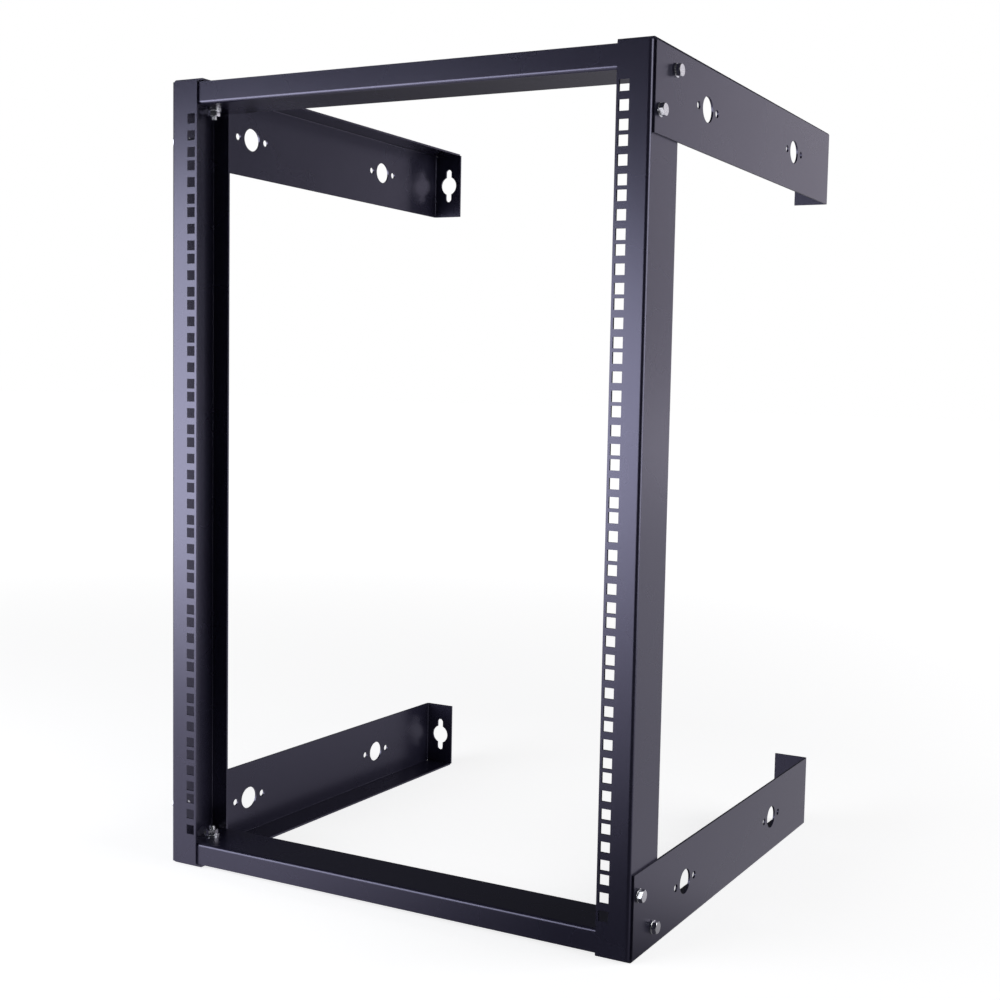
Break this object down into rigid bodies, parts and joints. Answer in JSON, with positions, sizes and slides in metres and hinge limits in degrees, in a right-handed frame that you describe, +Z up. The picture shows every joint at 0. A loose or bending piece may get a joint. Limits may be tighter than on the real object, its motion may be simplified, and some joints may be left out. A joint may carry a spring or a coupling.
{
  "type": "wall mount rack",
  "caption": "Open steel frame that holds rack equipment off a wall: square-hole posts joined by rails, with plate arms that end in keyhole wall flanges.",
  "frame": {"origin": "on the floor line, at the middle of the width and of the depth", "axes": "+X to the right seen from the front, +Y back to the wall, +Z up"},
  "size_m": [0.5296, 0.451, 0.7755],
  "materials": {
    "powder_coat": "satin black powder coat with a faint violet cast",
    "zinc_plate": "bright zinc plate"
  },
  "bodies": {
    "root": {"arm_lower_left": "powder_coat", "arm_lower_right": "powder_coat", "arm_upper_left": "powder_coat", "arm_upper_right": "powder_coat", "bolt_lower_left_front": "zinc_plate", "bolt_lower_left_rear": "zinc_plate", "bolt_lower_right_front": "zinc_plate", "bolt_lower_right_rear": "zinc_plate", "bolt_upper_left_front": "zinc_plate", "bolt_upper_left_rear": "zinc_plate", "bolt_upper_right_front": "zinc_plate", "bolt_upper_right_rear": "zinc_plate", "nut_lower_left_front": "zinc_plate", "nut_lower_left_rear": "zinc_plate", "nut_lower_right_front": "zinc_plate", "nut_lower_right_rear": "zinc_plate", "nut_upper_left_front": "zinc_plate", "nut_upper_left_rear": "zinc_plate", "nut_upper_right_front": "zinc_plate", "nut_upper_right_rear": "zinc_plate", "post_left": "powder_coat", "post_right": "powder_coat", "rail_bottom": "powder_coat", "rail_top": "powder_coat"}
  },
  "joints": []
}
